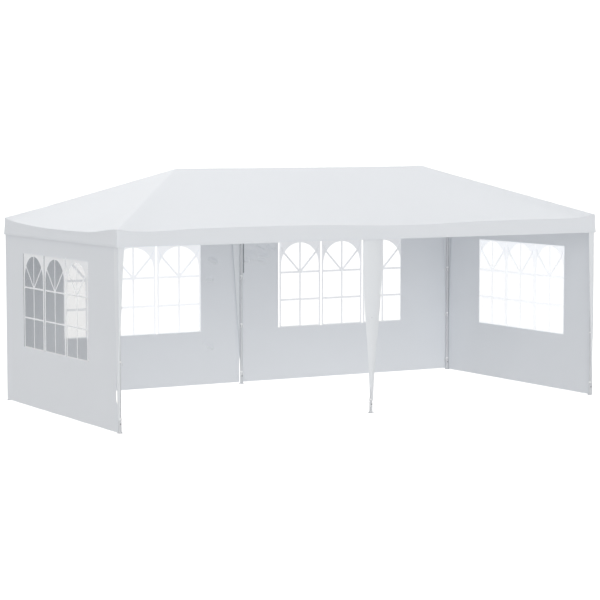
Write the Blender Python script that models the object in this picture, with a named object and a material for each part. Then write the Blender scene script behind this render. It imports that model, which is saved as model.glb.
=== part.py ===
"""Party marquee tent, 3 x 6 m class: steel tube frame, sheet roof with a straight valance,
four side walls with film windows and six tapered leg covers. Metres, +Z up, the ground at
z = 0, the long side along X and the open side towards -Y."""
import bpy
import bmesh
from mathutils import Vector

# Start from an empty scene
for item in list(bpy.data.objects):
    bpy.data.objects.remove(item, do_unlink=True)

# Roof cover
COVER_LENGTH = 5.900
COVER_DEPTH = 2.920
CORNER_HEIGHT = 2.020
RIDGE_HEIGHT = 2.578
RIDGE_LENGTH = 3.154
VALANCE_BOTTOM = 1.842
SIDE_DROOP = 0.033
END_DROOP = 0.055
DROOP_POWER = 2.5
SHEET = 0.002
GAP = 0.0003
SLOPE_THICKNESS = 1.085 * SHEET
SEAM_DROP = 1.5 * SHEET
SIDE_STEPS = 24
END_STEPS = 12
SLOPE_STEPS = 4

# Side walls and windows
WALL_BOTTOM = 0.010
WALL_TOP = 1.925
BACK_LEFT_END = -0.0285
BACK_RIGHT_START = -0.008
WINDOW_BOTTOM = 0.641
WINDOW_TOP = 1.660
FILM = 0.0008
FILM_LAP = 0.015
LEFT_WINDOW = (0.132, 1.680)
RIGHT_WINDOW = (-0.071, 1.690)
BACK_LEFT_WINDOW = (-1.408, 1.740)
BACK_RIGHT_WINDOW = (1.379, 1.740)

# Frame tubes and their connectors
TUBE_RADIUS = 0.0135
TUBE_SIDES = 16
SOCKET_RADIUS = 0.0157
BORE_RADIUS = 0.0139
BALL_RADIUS = 0.0162
BALL_BANDS = 8
POST_OVERHANG = 0.008
SHARP_ANGLE = 0.7
SOCKET_LENGTH = 0.060
SOCKET_STOP = 0.019
LEG_SOCKET_END = 1.890
EAVE_HEIGHT = 1.948
CORNER_RISE = 0.046
MIDDLE_RISE = 0.020
RIDGE_DROP = 0.0205

# Leg feet
PLATE_RADIUS = 0.032
PLATE_THICKNESS = 0.003
FLARE_TOP = 0.008
SLEEVE_TOP = 0.100

# Leg covers
COVER_BOTTOM = 0.130
COVER_TOP = 1.885
COVER_STEPS = 12
MIDDLE_COVER_FOOT = 0.038
MIDDLE_COVER_SPREAD = 0.190
MIDDLE_COVER_FULL = 1.600
CORNER_COVER_FOOT = 0.010
CORNER_COVER_SPREAD = 0.0455

# Worked out from the above: layers run valance, wall, leg cover, tube from outside in
HALF_X = COVER_LENGTH / 2
HALF_Y = COVER_DEPTH / 2
WALL_OUT = SHEET + GAP
WALL_IN = WALL_OUT + SHEET
COVER_OUT = WALL_IN + GAP
COVER_IN = COVER_OUT + SHEET
LEG_INSET = COVER_IN + GAP + TUBE_RADIUS
LEG_X = HALF_X - LEG_INSET
LEG_Y = HALF_Y - LEG_INSET
RIDGE_X = RIDGE_LENGTH / 2
RIDGE_Z = RIDGE_HEIGHT - RIDGE_DROP


def paint(name, colour, roughness, metallic=0.0, alpha=1.0):
    """A Principled material in one plain colour."""
    material = bpy.data.materials.new(name)
    material.use_nodes = True
    shader = material.node_tree.nodes["Principled BSDF"]
    shader.inputs["Base Color"].default_value = (*colour, 1.0)
    shader.inputs["Roughness"].default_value = roughness
    shader.inputs["Metallic"].default_value = metallic
    shader.inputs["Alpha"].default_value = alpha
    material.diffuse_color = (*colour, alpha)
    return material


WHITE_SHEET = paint("white_sheet", (0.86, 0.87, 0.89), 0.55)
CLEAR_FILM = paint("clear_film", (0.93, 0.94, 0.95), 0.15, alpha=0.35)
WHITE_STEEL = paint("white_coated_steel", (0.78, 0.79, 0.80), 0.35)
ZINC_STEEL = paint("zinc_steel", (0.62, 0.63, 0.64), 0.40, metallic=0.9)


def add_object(name, mesh_source, material, place=(0, 0, 0), turn=None):
    """Turn a bmesh into a named object with its material, place and rotation."""
    bmesh.ops.recalc_face_normals(mesh_source, faces=mesh_source.faces)
    mesh = bpy.data.meshes.new(name)
    mesh_source.to_mesh(mesh)
    mesh_source.free()
    mesh.materials.append(material)
    made = bpy.data.objects.new(name, mesh)
    made.location = place
    if turn is not None:
        made.rotation_mode = "QUATERNION"
        made.rotation_quaternion = turn
    bpy.context.collection.objects.link(made)
    return made


def round_off(made):
    """Shade a round piece smooth, keeping its edges sharp."""
    made.data.shade_smooth()
    made.data.set_sharp_from_angle(angle=SHARP_ANGLE)
    return made


def rod(name, start, end, radius, material):
    """A straight round bar between two points."""
    start = Vector(start)
    end = Vector(end)
    shape = bmesh.new()
    bmesh.ops.create_cone(shape, cap_ends=True, segments=TUBE_SIDES, radius1=radius,
                          radius2=radius, depth=(end - start).length)
    turn = (end - start).to_track_quat("Z", "Y")
    return round_off(add_object(name, shape, material, (start + end) / 2, turn))


def slab(name, low, high, material):
    """A box between two corners."""
    low = Vector(low)
    high = Vector(high)
    shape = bmesh.new()
    bmesh.ops.create_cube(shape, size=1.0)
    bmesh.ops.scale(shape, vec=high - low, verts=shape.verts)
    return add_object(name, shape, material, (low + high) / 2)


def combine(body, tool, operation):
    """Join a tool to a body, or cut it away, and drop the tool."""
    boolean = body.modifiers.new("combine", "BOOLEAN")
    boolean.operation = operation
    boolean.solver = "EXACT"
    boolean.object = tool
    bpy.context.view_layer.update()
    evaluated = body.evaluated_get(bpy.context.evaluated_depsgraph_get())
    mesh = bpy.data.meshes.new_from_object(evaluated)
    body.modifiers.clear()
    body.data = mesh
    mesh.name = body.name
    bpy.data.objects.remove(tool, do_unlink=True)


def loft(name, rings, material):
    """A closed solid through rings of points, with both ends capped."""
    shape = bmesh.new()
    loops = [[shape.verts.new(point) for point in ring] for ring in rings]
    for lower, upper in zip(loops, loops[1:]):
        for index in range(len(lower)):
            following = (index + 1) % len(lower)
            shape.faces.new((lower[index], lower[following], upper[following], upper[index]))
    shape.faces.new(loops[0])
    shape.faces.new(loops[-1])
    return add_object(name, shape, material)


# Roof cover

def fold_height(share, droop):
    """Height of the roof's folded edge at a share of its length from corner to corner."""
    return CORNER_HEIGHT - droop * (1 - abs(2 * share - 1) ** DROOP_POWER)


def roof_panel(name, eave_half, ridge_half, eave_out, droop, steps, place):
    """One roof slope: a sheet from its drooping eave up to its ridge or peak."""
    rise = Vector((0, 0, SLOPE_THICKNESS))
    shape = bmesh.new()
    rows = []
    for level in range(SLOPE_STEPS + 1):
        climb = level / SLOPE_STEPS
        half = eave_half + (ridge_half - eave_half) * climb
        out = eave_out[0] + (eave_out[1] - eave_out[0]) * climb
        row = []
        for step in range(steps + 1):
            share = step / steps
            low = fold_height(share, droop)
            point = place((2 * share - 1) * half, out, low + (RIDGE_HEIGHT - low) * climb)
            row.append((shape.verts.new(point), shape.verts.new(point - rise)))
        rows.append(row)
    for lower, upper in zip(rows, rows[1:]):
        for step in range(steps):
            for side in (0, 1):
                shape.faces.new((lower[step][side], lower[step + 1][side],
                                 upper[step + 1][side], upper[step][side]))
        for step in (0, steps):
            shape.faces.new((lower[step][0], upper[step][0], upper[step][1], lower[step][1]))
    for row in (rows[0], rows[-1]):
        for step in range(steps):
            shape.faces.new((row[step][0], row[step + 1][0], row[step + 1][1], row[step][1]))
    return add_object(name, shape, WHITE_SHEET)


def valance(name, half, out, droop, steps, place):
    """One hanging strip under the roof's edge, its top following the droop."""
    rings = []
    for step in range(steps + 1):
        share = step / steps
        along = (2 * share - 1) * half
        top = fold_height(share, droop) - SEAM_DROP
        rings.append([place(along, out, VALANCE_BOTTOM), place(along, out, top),
                      place(along, out - SHEET, top), place(along, out - SHEET, VALANCE_BOTTOM)])
    return loft(name, rings, WHITE_SHEET)


def side_place(sign):
    """Points of a long side: along X, out along Y by the sign."""
    return lambda along, out, height: Vector((along, sign * out, height))


def end_place(sign):
    """Points of a short end: along Y, out along X by the sign."""
    return lambda along, out, height: Vector((sign * out, along, height))


for label, sign in (("front", -1), ("back", 1)):
    roof_panel(f"roof_{label}", HALF_X - GAP, RIDGE_X - GAP, (HALF_Y, GAP), SIDE_DROOP,
               SIDE_STEPS, side_place(sign))
    valance(f"valance_{label}", HALF_X, HALF_Y, SIDE_DROOP, SIDE_STEPS, side_place(sign))
for label, sign in (("left", -1), ("right", 1)):
    roof_panel(f"roof_{label}", HALF_Y - GAP, 4 * GAP, (HALF_X, RIDGE_X + 4 * GAP), END_DROOP,
               END_STEPS, end_place(sign))
    valance(f"valance_{label}", HALF_Y - SHEET - GAP, HALF_X, END_DROOP, END_STEPS,
            end_place(sign))


# Frame: legs with their feet, eaves, ridge and rafters

def leg(name, x, y, top):
    """A leg tube that ends in a sleeve and a flared round foot plate, one turned profile."""
    profile = ((TUBE_RADIUS, top), (TUBE_RADIUS, SLEEVE_TOP), (SOCKET_RADIUS, SLEEVE_TOP),
               (SOCKET_RADIUS, FLARE_TOP), (PLATE_RADIUS, PLATE_THICKNESS), (PLATE_RADIUS, 0))
    shape = bmesh.new()
    loops = []
    for radius, height in profile:
        ring = bmesh.ops.create_circle(shape, segments=TUBE_SIDES, radius=radius)["verts"]
        bmesh.ops.translate(shape, verts=ring, vec=(0, 0, height))
        loops.append(ring)
    for upper, lower in zip(loops, loops[1:]):
        for index in range(TUBE_SIDES):
            following = (index + 1) % TUBE_SIDES
            shape.faces.new((upper[index], upper[following], lower[following], lower[index]))
    shape.faces.new(loops[0])
    shape.faces.new(loops[-1])
    return round_off(add_object(name, shape, WHITE_STEEL, (x, y, 0)))


def tube(name, start, end, start_stop, end_stop):
    """A frame tube between two joints, held back from each by its stop."""
    start = Vector(start)
    end = Vector(end)
    along = (end - start).normalized()
    return rod(name, start + along * (start_stop + GAP), end - along * (end_stop + GAP),
               TUBE_RADIUS, WHITE_STEEL)


def connector(name, middle, sockets, post=None):
    """A welded joint: a ball or post with a tube socket, bored to its stop, for each tube."""
    middle = Vector(middle)
    if post is None:
        shape = bmesh.new()
        bmesh.ops.create_uvsphere(shape, u_segments=TUBE_SIDES, v_segments=BALL_BANDS,
                                  radius=BALL_RADIUS)
        body = round_off(add_object(name, shape, ZINC_STEEL, middle))
    else:
        body = rod(name, post[0], post[1], SOCKET_RADIUS, ZINC_STEEL)
    for root, target, length in sockets:
        along = (Vector(target) - Vector(root)).normalized()
        socket = rod("socket", root, Vector(root) + along * length, SOCKET_RADIUS - GAP / 2,
                     ZINC_STEEL)
        combine(body, socket, "UNION")
    for root, target, length in sockets:
        along = (Vector(target) - Vector(root)).normalized()
        bore = rod("bore", Vector(root) + along * SOCKET_STOP,
                   Vector(root) + along * (length + SOCKET_STOP), BORE_RADIUS, ZINC_STEEL)
        combine(body, bore, "DIFFERENCE")
    return round_off(body)


def leg_socket(joint):
    """The downward socket that takes a leg."""
    x, y, z = joint
    return (joint, (x, y, 0), z - LEG_SOCKET_END)


ridge_centre = Vector((0, 0, RIDGE_Z))
ridge_ends = {"left": Vector((-RIDGE_X, 0, RIDGE_Z)), "right": Vector((RIDGE_X, 0, RIDGE_Z))}
leg_top = EAVE_HEIGHT - SOCKET_STOP - GAP

for front_back, y in (("front", -LEG_Y), ("back", LEG_Y)):
    middle = Vector((0, y, EAVE_HEIGHT))
    raised_middle = middle + Vector((0, 0, MIDDLE_RISE))
    corners = {}
    for left_right, x in (("left", -LEG_X), ("right", LEG_X)):
        corner = Vector((x, y, EAVE_HEIGHT))
        raised = corner + Vector((0, 0, CORNER_RISE))
        end_middle = Vector((x, 0, EAVE_HEIGHT))
        side = f"{front_back}_{left_right}"
        leg(f"leg_{side}", x, y, leg_top)
        tube(f"eave_{side}", corner, middle, SOCKET_STOP, SOCKET_STOP)
        tube(f"hip_rafter_{side}", raised, ridge_ends[left_right], SOCKET_STOP, SOCKET_STOP)
        connector(f"corner_joint_{side}", corner,
                  (leg_socket(corner), (corner, middle, SOCKET_LENGTH),
                   (corner, end_middle, SOCKET_LENGTH),
                   (raised, ridge_ends[left_right], SOCKET_LENGTH)),
                  post=(corner - Vector((0, 0, SOCKET_RADIUS)),
                        raised + Vector((0, 0, POST_OVERHANG))))
        corners[left_right] = corner
    leg(f"leg_{front_back}_middle", 0, y, leg_top)
    tube(f"rafter_{front_back}_middle", raised_middle, ridge_centre, SOCKET_STOP, SOCKET_STOP)
    connector(f"eave_joint_{front_back}_middle", middle,
              (leg_socket(middle), (middle, corners["left"], SOCKET_LENGTH),
               (middle, corners["right"], SOCKET_LENGTH),
               (raised_middle, ridge_centre, SOCKET_LENGTH)),
              post=(middle - Vector((0, 0, SOCKET_RADIUS)),
                    raised_middle + Vector((0, 0, POST_OVERHANG))))

rafter_feet = [Vector((0, sign * LEG_Y, EAVE_HEIGHT + MIDDLE_RISE)) for sign in (-1, 1)]
connector("ridge_joint_middle", ridge_centre,
          [(ridge_centre, target, SOCKET_LENGTH)
           for target in (*ridge_ends.values(), *rafter_feet)])
for left_right, sign in (("left", -1), ("right", 1)):
    ridge_end = ridge_ends[left_right]
    hip_feet = [Vector((sign * LEG_X, side * LEG_Y, EAVE_HEIGHT + CORNER_RISE))
                for side in (-1, 1)]
    connector(f"ridge_joint_{left_right}", ridge_end,
              [(ridge_end, target, SOCKET_LENGTH) for target in (ridge_centre, *hip_feet)])
    tube(f"ridge_{left_right}", ridge_end, ridge_centre, SOCKET_STOP, SOCKET_STOP)
    tube(f"eave_{left_right}", (sign * LEG_X, -LEG_Y, EAVE_HEIGHT),
         (sign * LEG_X, LEG_Y, EAVE_HEIGHT), SOCKET_STOP, SOCKET_STOP)


# Side walls with their window films

def wall(label, low_along, high_along, out, window, place):
    """A hanging wall sheet with its window cut through, and the film lapped on its inside."""
    centre, width = window
    outer = out - WALL_OUT
    inner = out - WALL_IN
    edges = [place(low_along, inner, WALL_BOTTOM), place(high_along, outer, WALL_TOP)]
    sheet = slab(f"wall_{label}", *sorted_corners(edges), WHITE_SHEET)
    hole = [place(centre - width / 2, inner - SHEET, WINDOW_BOTTOM),
            place(centre + width / 2, outer + SHEET, WINDOW_TOP)]
    combine(sheet, slab("hole", *sorted_corners(hole), WHITE_SHEET), "DIFFERENCE")
    film_out = inner - GAP
    film = [place(centre - width / 2 - FILM_LAP, film_out - FILM, WINDOW_BOTTOM - FILM_LAP),
            place(centre + width / 2 + FILM_LAP, film_out, WINDOW_TOP + FILM_LAP)]
    slab(f"window_{label}", *sorted_corners(film), CLEAR_FILM)


def sorted_corners(points):
    """The lowest and the highest corner of two opposite ones."""
    return (Vector(map(min, *points)), Vector(map(max, *points)))


wall("left", -LEG_Y - TUBE_RADIUS, HALF_Y - WALL_OUT, HALF_X, LEFT_WINDOW, end_place(-1))
wall("right", -LEG_Y - TUBE_RADIUS, HALF_Y - WALL_OUT, HALF_X, RIGHT_WINDOW, end_place(1))
wall("back_left", -HALF_X + WALL_IN + GAP, BACK_LEFT_END, HALF_Y, BACK_LEFT_WINDOW,
     side_place(1))
wall("back_right", BACK_RIGHT_START, HALF_X - WALL_IN - GAP, HALF_Y, BACK_RIGHT_WINDOW,
     side_place(1))


# Leg covers

def middle_cover_half(height):
    """Half width of a middle leg cover, wide under the eave and narrow at the foot."""
    share = min(height / MIDDLE_COVER_FULL, 1.0)
    return (MIDDLE_COVER_FOOT + MIDDLE_COVER_SPREAD * share * share * (3 - 2 * share)) / 2


def cover_heights():
    """The heights of a leg cover's rings."""
    return [COVER_BOTTOM + (COVER_TOP - COVER_BOTTOM) * step / COVER_STEPS
            for step in range(COVER_STEPS + 1)]


for label, sign in (("front", -1), ("back", 1)):
    outer = sign * (HALF_Y - COVER_OUT)
    inner = sign * (HALF_Y - COVER_IN)
    rings = []
    for height in cover_heights():
        half = middle_cover_half(height)
        rings.append([(-half, outer, height), (half, outer, height),
                      (half, inner, height), (-half, inner, height)])
    loft(f"leg_cover_{label}_middle", rings, WHITE_SHEET)
    for left_right, across in (("left", -1), ("right", 1)):
        corner_out = (across * (HALF_X - COVER_OUT), outer)
        corner_in = (across * (HALF_X - COVER_IN), inner)
        rings = []
        for height in cover_heights():
            width = CORNER_COVER_FOOT + CORNER_COVER_SPREAD * height
            reach_x = corner_out[0] - across * width
            reach_y = corner_out[1] - sign * width
            rings.append([(*corner_out, height), (reach_x, corner_out[1], height),
                          (reach_x, corner_in[1], height), (*corner_in, height),
                          (corner_in[0], reach_y, height), (corner_out[0], reach_y, height)])
        loft(f"leg_cover_{label}_{left_right}", rings, WHITE_SHEET)
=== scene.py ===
import bpy
import bmesh
from math import cos, exp, hypot, pi, radians, sin
from mathutils import Matrix, Vector, noise


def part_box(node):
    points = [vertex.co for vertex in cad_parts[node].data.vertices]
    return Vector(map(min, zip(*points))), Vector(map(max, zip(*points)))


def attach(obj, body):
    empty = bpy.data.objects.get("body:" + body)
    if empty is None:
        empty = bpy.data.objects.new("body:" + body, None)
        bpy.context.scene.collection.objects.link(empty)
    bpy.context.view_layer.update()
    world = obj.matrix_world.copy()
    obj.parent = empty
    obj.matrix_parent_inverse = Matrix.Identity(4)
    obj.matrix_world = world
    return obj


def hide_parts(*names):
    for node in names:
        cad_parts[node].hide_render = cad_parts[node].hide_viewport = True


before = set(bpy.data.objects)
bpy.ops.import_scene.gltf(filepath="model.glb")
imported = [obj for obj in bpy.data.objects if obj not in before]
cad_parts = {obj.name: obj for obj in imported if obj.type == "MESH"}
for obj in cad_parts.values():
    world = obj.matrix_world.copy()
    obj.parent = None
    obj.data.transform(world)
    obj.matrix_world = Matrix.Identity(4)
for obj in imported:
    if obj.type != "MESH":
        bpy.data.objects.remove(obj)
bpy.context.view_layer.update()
print("frame loaded:", len(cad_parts), "nodes")

# The tent's main lines, read from the frame
valanceLow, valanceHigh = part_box("valance_front")
legLow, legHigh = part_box("leg_back_right")
eaveLow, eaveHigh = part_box("eave_left")
tent = {
    "halfLength": valanceHigh.x,
    "halfDepth": -valanceLow.y,
    "ridgeHeight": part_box("roof_front")[1].z,
    "ridgeHalf": -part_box("roof_left")[1].x,
    "cornerHeight": 2.020,
    "valanceBottom": valanceLow.z,
    "legX": (legLow.x + legHigh.x) / 2,
    "legY": (legLow.y + legHigh.y) / 2,
    "legTop": legHigh.z,
    "eaveHeight": (eaveLow.z + eaveHigh.z) / 2,
    "tubeRadius": (eaveHigh.z - eaveLow.z) / 2,
    "cornerRise": 0.046,  # from an eave tube up to the foot of a hip tube
    "middleRise": 0.020,  # and up to the foot of a middle rafter
    "ridgeDrop": 0.0205,  # from the sheet's ridge down to the ridge tube
}
# the way a hip runs in plan, from the ridge's end out to a corner
hipRun = Vector((tent["halfLength"] - tent["ridgeHalf"], tent["halfDepth"], 0)).normalized()
legPlaces = [(x, y) for x in (-tent["legX"], 0, tent["legX"])
             for y in (-tent["legY"], tent["legY"])]


# Materials

def hexColor(code):
    # sRGB hex to the linear colour that a socket wants
    channels = [int(code[place:place + 2], 16) / 255 for place in (1, 3, 5)]
    linear = [value / 12.92 if value <= 0.04045 else ((value + 0.055) / 1.055) ** 2.4
              for value in channels]
    return (*linear, 1.0)


def addNode(material, kind, links=(), take=0, **settings):
    # one shader node: settings are its own properties, links fill its sockets, and the output
    # named or numbered by take comes back
    node = material.node_tree.nodes.new("ShaderNode" + kind)
    for name, value in settings.items():
        setattr(node, name, value)
    for socket, value in dict(links).items():
        if isinstance(value, bpy.types.NodeSocket):
            material.node_tree.links.new(value, node.inputs[socket])
        else:
            node.inputs[socket].default_value = value
    return node.outputs[take] if node.outputs else None


def newMaterial(name):
    # an empty material, and the place on the piece that its patterns read
    material = bpy.data.materials.new(name)
    material.use_nodes = True
    material.node_tree.nodes.clear()
    return material, addNode(material, "TexCoord", take="Object")


def closeMaterial(material, surface):
    # the surface's one Principled shader, with these sockets
    shader = addNode(material, "BsdfPrincipled", surface)
    addNode(material, "OutputMaterial", {"Surface": shader})
    return material


def millimetres(period):
    # wave texture scale for bands this many millimetres apart
    return 2 * pi / 20 / (period / 1000)


cloth = {
    "thread": 2.6,  # mm between the woven tapes of the sheet
    "crinkle": 60,  # mm across the small dents that folding leaves
    "roughness": 0.52,
    "glow": 0.048,  # painted glow: an emission that stands in for daylight coming through the sheet
}


def wovenSheet(name, light, shade):
    # coated woven polyethylene: a fine grid of flat tapes under a thin smooth skin, so it is matt
    # white with a low sheen and slight crinkles, and a faint painted glow for daylight through the
    # sheet
    material, place = newMaterial(name)
    flat = addNode(material, "UVMap", uv_map="cloth")
    warp, weft = (addNode(material, "TexWave", {
        "Vector": flat, "Scale": millimetres(cloth["thread"])}, take="Fac", bands_direction=way)
        for way in "XY")
    tapes = addNode(material, "Math", {0: warp, 1: weft}, operation="ADD")
    dents = addNode(material, "TexNoise", {
        "Vector": place, "Scale": 1000 / cloth["crinkle"], "Detail": 3.0, "Roughness": 0.45})
    patches = addNode(material, "TexNoise", {"Vector": place, "Scale": 1.3, "Detail": 2.0})
    color = addNode(material, "Mix", {
        "Factor": patches, "A": hexColor(shade), "B": hexColor(light)},
        take="Result", data_type="RGBA")
    gloss = addNode(material, "MapRange", {
        "Value": dents, "To Min": cloth["roughness"] - 0.06, "To Max": cloth["roughness"] + 0.06})
    weave = addNode(material, "Bump", {"Height": tapes, "Strength": 0.35, "Distance": 0.0002})
    crinkle = addNode(material, "Bump", {
        "Height": dents, "Strength": 0.25, "Distance": 0.0016, "Normal": weave})
    return closeMaterial(material, {
        "Base Color": color, "Roughness": gloss, "IOR": 1.5, "Specular IOR Level": 0.35,
        "Normal": crinkle, "Emission Color": hexColor(light), "Emission Strength": cloth["glow"]})


def clearFilm():
    # soft clear vinyl film: each face holds back a little light, more of it at a slant
    material, place = newMaterial("clear_vinyl_film")
    waves = addNode(material, "TexNoise", {"Vector": place, "Scale": 7.0, "Detail": 2.0})
    ripple = addNode(material, "Bump", {"Height": waves, "Strength": 0.3, "Distance": 0.004})
    slant = addNode(material, "LayerWeight", {"Blend": 0.5}, take="Facing")
    steep = addNode(material, "Math", {0: slant, 1: 2.5}, operation="POWER")
    cover = addNode(material, "MapRange", {"Value": steep, "To Min": 0.030, "To Max": 0.52})
    return closeMaterial(material, {
        "Base Color": hexColor("#3A3E44"), "Roughness": 0.16, "IOR": 1.45, "Alpha": cover,
        "Normal": ripple})


def printedInk(name, glow):
    # white ink on the film: nearly opaque, with a painted glow (an emission set for each wall) for
    # the daylight behind it
    material, place = newMaterial(name)
    grain = addNode(material, "TexNoise", {"Vector": place, "Scale": 350.0, "Detail": 2.0})
    cover = addNode(material, "MapRange", {"Value": grain, "To Min": 0.80, "To Max": 0.90})
    return closeMaterial(material, {
        "Base Color": hexColor("#F6F7F9"), "Roughness": 0.45, "IOR": 1.5, "Alpha": cover,
        "Emission Color": hexColor("#FAFCFF"), "Emission Strength": glow})


def powderCoat(name, light, shade, roughness):
    # powder-coated steel: an even skin with a faint orange peel
    material, place = newMaterial(name)
    peel = addNode(material, "TexNoise", {"Vector": place, "Scale": 900.0, "Detail": 1.0})
    rub = addNode(material, "TexNoise", {"Vector": place, "Scale": 9.0, "Detail": 4.0})
    color = addNode(material, "Mix", {"Factor": rub, "A": hexColor(shade), "B": hexColor(light)},
                    take="Result", data_type="RGBA")
    gloss = addNode(material, "MapRange", {
        "Value": rub, "To Min": roughness - 0.05, "To Max": roughness + 0.05})
    skin = addNode(material, "Bump", {"Height": peel, "Strength": 0.12, "Distance": 0.0002})
    return closeMaterial(material, {
        "Base Color": color, "Roughness": gloss, "IOR": 1.5, "Normal": skin})


def blackNylon():
    # moulded nylon: near black with a fine matt grain
    material, place = newMaterial("black_moulded_nylon")
    grain = addNode(material, "TexNoise", {"Vector": place, "Scale": 1400.0, "Detail": 2.0})
    gloss = addNode(material, "MapRange", {"Value": grain, "To Min": 0.42, "To Max": 0.58})
    skin = addNode(material, "Bump", {"Height": grain, "Strength": 0.2, "Distance": 0.0001})
    return closeMaterial(material, {
        "Base Color": hexColor("#1E2024"), "Roughness": gloss, "IOR": 1.53, "Normal": skin})


def wovenTape(name, shade):
    # polyester tape: a close ribbed weave
    material, place = newMaterial(name)
    ribs = addNode(material, "TexWave", {"Vector": place, "Scale": millimetres(1.5)},
                   take="Fac", bands_direction="Z")
    bump = addNode(material, "Bump", {"Height": ribs, "Strength": 0.5, "Distance": 0.0003})
    return closeMaterial(material, {
        "Base Color": hexColor(shade), "Roughness": 0.75, "Sheen Weight": 0.2, "Normal": bump})


# painted glow of the ink of each window: an emission for the daylight behind it, set by how
# brightly each wall is lit
inkPaintedGlow = {"left": 0.100, "right": 0.45, "back_left": 0.335, "back_right": 0.208}
finishes = {
    "roof": wovenSheet("roof_woven_polyethylene", "#ECEFF3", "#EAEDF1"),
    "wall": wovenSheet("wall_woven_polyethylene", "#E9ECF0", "#E6E9ED"),
    "cover": wovenSheet("leg_cover_woven_polyethylene", "#EDF0F3", "#EBEEF1"),
    "film": clearFilm(),
    "tube": powderCoat("white_powder_coated_steel", "#E0E2E5", "#D8DADD", 0.38),
    "joint": powderCoat("grey_powder_coated_steel", "#CFD1D4", "#C5C8CB", 0.42),
    "pin": blackNylon(),
    "tape": wovenTape("white_polyester_tape", "#FAFAFB"),
    # painted shade: a dark grey strip that stands in for the shadow gap beside the back middle leg
    "painted_shade_strip": wovenTape("grey_painted_shade_strip", "#8E9298"),
    **{f"ink_{label}": printedInk(f"white_screen_ink_painted_glow_{label}", glow)
       for label, glow in inkPaintedGlow.items()},
}
print("materials made:", len(finishes))


# Shared steps of making a piece

def finishPiece(name, shape, finish, replaced=(), thickness=0.0, sharp=0.7):
    # a bmesh becomes a piece that rides on the tent; a sheet gets its thickness inwards
    mesh = bpy.data.meshes.new(name)
    shape.to_mesh(mesh)
    shape.free()
    mesh.materials.append(finishes[finish])
    mesh.shade_smooth()
    mesh.set_sharp_from_angle(angle=sharp)
    piece = bpy.data.objects.new(name, mesh)
    bpy.context.scene.collection.objects.link(piece)
    if thickness:
        solid = piece.modifiers.new("thickness", "SOLIDIFY")
        solid.thickness = thickness
        solid.offset = -1.0
        even = piece.modifiers.new("even_shading", "WEIGHTED_NORMAL")
        even.keep_sharp = True
    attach(piece, "root")
    if replaced:
        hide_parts(*replaced)
    return piece


def nodesNamed(*starts):
    # the tent's nodes whose names start so, but not the joints among them
    return [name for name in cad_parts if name.startswith(starts) and "joint" not in name]


def flatGrid(columns, rows, low=(-1, -1), high=(1, 1)):
    # a flat grid of faces between two corners
    shape = bmesh.new()
    bmesh.ops.create_grid(shape, x_segments=columns, y_segments=rows, size=1.0)
    for vert in shape.verts:
        for axis in (0, 1):
            share = (vert.co[axis] + 1) / 2
            vert.co[axis] = low[axis] + (high[axis] - low[axis]) * share
    return shape


def facesBetween(shape, low, high):
    # the faces of a flat sheet whose middles lie between two corners
    return [face for face in shape.faces
            if low[0] < face.calc_center_median().x < high[0]
            and low[1] < face.calc_center_median().y < high[1]]


def faceOutwards(shape):
    bmesh.ops.recalc_face_normals(shape, faces=shape.faces[:])


def addTo(shape, part):
    # join a part to a growing piece
    mesh = bpy.data.meshes.new("part")
    part.to_mesh(mesh)
    part.free()
    shape.from_mesh(mesh)
    bpy.data.meshes.remove(mesh)


def mapCloth(shape):
    # the weave's own map, in metres, along the two ways that each face mostly lies
    layer = shape.loops.layers.uv.new("cloth")
    shape.normal_update()
    for face in shape.faces:
        across, along, up = (abs(value) for value in face.normal)
        for loop in face.loops:
            x, y, z = loop.vert.co
            if up > 0.6:
                loop[layer].uv = (x, y)
            elif along > across:
                loop[layer].uv = (x, z)
            else:
                loop[layer].uv = (y, z)


def layCloth(shape, out):
    # turn a sheet's faces to the outside of the tent and map its weave
    shape.normal_update()
    turned = [face for face in shape.faces if face.normal.dot(out) < 0]
    bmesh.ops.reverse_faces(shape, faces=turned)
    mapCloth(shape)


def cutAcross(shape, point, normal, faces=None):
    # one straight cut through the chosen faces; a dict keeps its order, so every run is the same
    faces = faces if faces is not None else shape.faces[:]
    edges = dict.fromkeys(edge for face in faces for edge in face.edges)
    verts = dict.fromkeys(vert for face in faces for vert in face.verts)
    bmesh.ops.bisect_plane(shape, geom=[*verts, *edges, *faces], dist=1e-6,
                           plane_co=point, plane_no=normal)


def clamp(value, low, high):
    return min(max(value, low), high)


def smoothThrough(points, place):
    # a smooth curve through (place, value) pairs
    place = clamp(place, points[0][0], points[-1][0])
    index = max(i for i in range(len(points) - 1) if points[i][0] <= place)

    def slopeAt(i):
        before, after = points[max(i - 1, 0)], points[min(i + 1, len(points) - 1)]
        return (after[1] - before[1]) / (after[0] - before[0])

    (startPlace, start), (endPlace, end) = points[index], points[index + 1]
    span = endPlace - startPlace
    t = (place - startPlace) / span
    return (start * (1 + 2 * t) * (1 - t) ** 2 + end * t * t * (3 - 2 * t)
            + span * t * (1 - t) * (slopeAt(index) * (1 - t) - slopeAt(index + 1) * t))


def ease(value):
    # 0 to 1 with soft ends
    value = clamp(value, 0, 1)
    return value * value * (3 - 2 * value)


def creaseDepth(creases, across, up):
    # height of a few straight, soft folds at a point of a flat sheet
    depth = 0.0
    for (startX, startY), (endX, endY), height, width in creases:
        runX, runY = endX - startX, endY - startY
        length = hypot(runX, runY)
        t = ((across - startX) * runX + (up - startY) * runY) / length ** 2
        off = ((across - startX) * runY - (up - startY) * runX) / length
        ends = max(0.0, 1 - (2 * t - 1) ** 4) if 0 < t < 1 else 0.0
        reach = width * (0.7 if off > 0 else 3.5)  # steep below, gentle above
        depth += height * ends * exp(-(off / reach) ** 2)
    return depth


# Canopy: roof and valance are one sewn sheet

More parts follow.
